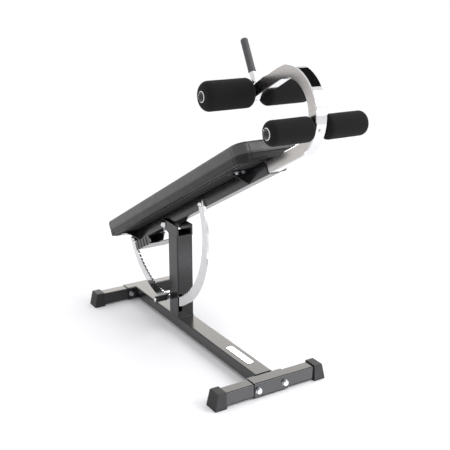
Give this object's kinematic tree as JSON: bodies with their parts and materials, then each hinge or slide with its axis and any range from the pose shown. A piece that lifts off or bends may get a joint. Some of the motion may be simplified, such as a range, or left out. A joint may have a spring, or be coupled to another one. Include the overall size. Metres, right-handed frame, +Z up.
{
  "type": "adjustable weight bench",
  "caption": "Adjustable sit-up bench: padded board on a tilting spar with a toothed arc, a two-foot base and a curved hook carrying foam leg rollers and a grip handle.",
  "frame": {"origin": "on the floor, under the middle of the overall box at rest", "axes": "+X along the base beam towards the leg hook, +Y across the bench to the pull pin's side, +Z up"},
  "size_m": [1.4468, 0.4992, 1.3021],
  "materials": {
    "black_paint": "glossy black powder coat",
    "chrome": "polished chrome",
    "satin_chrome": "satin plated steel with polished rims",
    "zinc": "bright zinc plate",
    "rubber": "matte black rubber",
    "foam": "matte black closed-cell foam",
    "vinyl": "satin charcoal upholstery vinyl",
    "plastic": "glossy black plastic",
    "plywood": "plywood under black lining cloth"
  },
  "bodies": {
    "base": {"base_beam": "black_paint", "beam_plate": "satin_chrome", "front_left_foot_cap": "rubber", "front_left_leg": "black_paint", "front_left_leg_bolt": "zinc", "front_right_foot_cap": "rubber", "front_right_leg": "black_paint", "front_right_leg_bolt": "zinc", "front_sleeve": "black_paint", "latch_guide": "black_paint", "pivot_bolt": "chrome", "pivot_bracket": "black_paint", "pivot_nut": "chrome", "post": "black_paint", "rear_left_foot_cap": "rubber", "rear_left_leg": "black_paint", "rear_left_leg_bolt": "zinc", "rear_right_foot_cap": "rubber", "rear_right_leg": "black_paint", "rear_right_leg_bolt": "zinc", "rear_sleeve": "black_paint"},
    "pad_frame": {"spar": "black_paint", "spar_end_plug": "plastic", "level_stop": "rubber", "pad_board": "plywood", "pad_cushion": "vinyl", "toothed_arc": "chrome", "arc_low_bolt": "chrome", "arc_high_bolt": "chrome", "rest_shoe": "plastic", "rest_shoe_stem": "plastic", "front_left_wing": "black_paint", "front_left_wing_inner_bolt": "zinc", "front_left_wing_outer_bolt": "zinc", "front_right_wing": "black_paint", "front_right_wing_inner_bolt": "zinc", "front_right_wing_outer_bolt": "zinc", "rear_left_wing": "black_paint", "rear_left_wing_outer_bolt": "zinc", "rear_right_wing": "black_paint", "rear_right_wing_outer_bolt": "zinc"},
    "latch": {"latch_pawl": "zinc", "latch_grip": "rubber", "latch_grip_cap": "chrome"},
    "hook": {"hook_tube": "satin_chrome", "upper_axle": "chrome", "lower_axle": "chrome", "lower_axle_screw": "chrome", "hook_end_plug": "plastic", "handle_rod": "chrome", "handle_grip": "rubber"},
    "pull_pin": {"pull_pin": "plastic"},
    "upper_left_roller": {"upper_left_roller_foam": "foam", "upper_left_roller_cap": "chrome"},
    "upper_right_roller": {"upper_right_roller_foam": "foam", "upper_right_roller_cap": "chrome"},
    "lower_left_roller": {"lower_left_roller_foam": "foam", "lower_left_roller_cap": "chrome"},
    "lower_right_roller": {"lower_right_roller_foam": "foam", "lower_right_roller_cap": "chrome"}
  },
  "joints": [
    {"name": "pad_tilt", "type": "hinge", "parent": "base", "child": "pad_frame", "pos_m": [-0.32106, 0, 0.469], "axis": [0, -1, 0], "range_deg": [-27.3, 17.7]},
    {"name": "latch_lift", "type": "slide", "parent": "base", "child": "latch", "axis": [0, 0, 1], "range_m": [0, 0.01], "stiffness_N_per_m": 400, "springref_m": -0.02},
    {"name": "hook_slide", "type": "slide", "parent": "pad_frame", "child": "hook", "axis": [0.8886, 0, 0.4587], "range_m": [-0.06, 0.08]},
    {"name": "pin_pull", "type": "slide", "parent": "pad_frame", "child": "pull_pin", "axis": [0, 1, 0], "range_m": [0, 0.008], "stiffness_N_per_m": 600, "springref_m": -0.01},
    {"name": "upper_left_roll", "type": "hinge", "parent": "hook", "child": "upper_left_roller", "pos_m": [0.33743, 0, 1.12059], "axis": [0, 1, 0], "continuous": true},
    {"name": "upper_right_roll", "type": "hinge", "parent": "hook", "child": "upper_right_roller", "pos_m": [0.33743, 0, 1.12059], "axis": [0, 1, 0], "continuous": true},
    {"name": "lower_left_roll", "type": "hinge", "parent": "hook", "child": "lower_left_roller", "pos_m": [0.68193, 0, 1.04936], "axis": [0, 1, 0], "continuous": true},
    {"name": "lower_right_roll", "type": "hinge", "parent": "hook", "child": "lower_right_roller", "pos_m": [0.68193, 0, 1.04936], "axis": [0, 1, 0], "continuous": true}
  ]
}
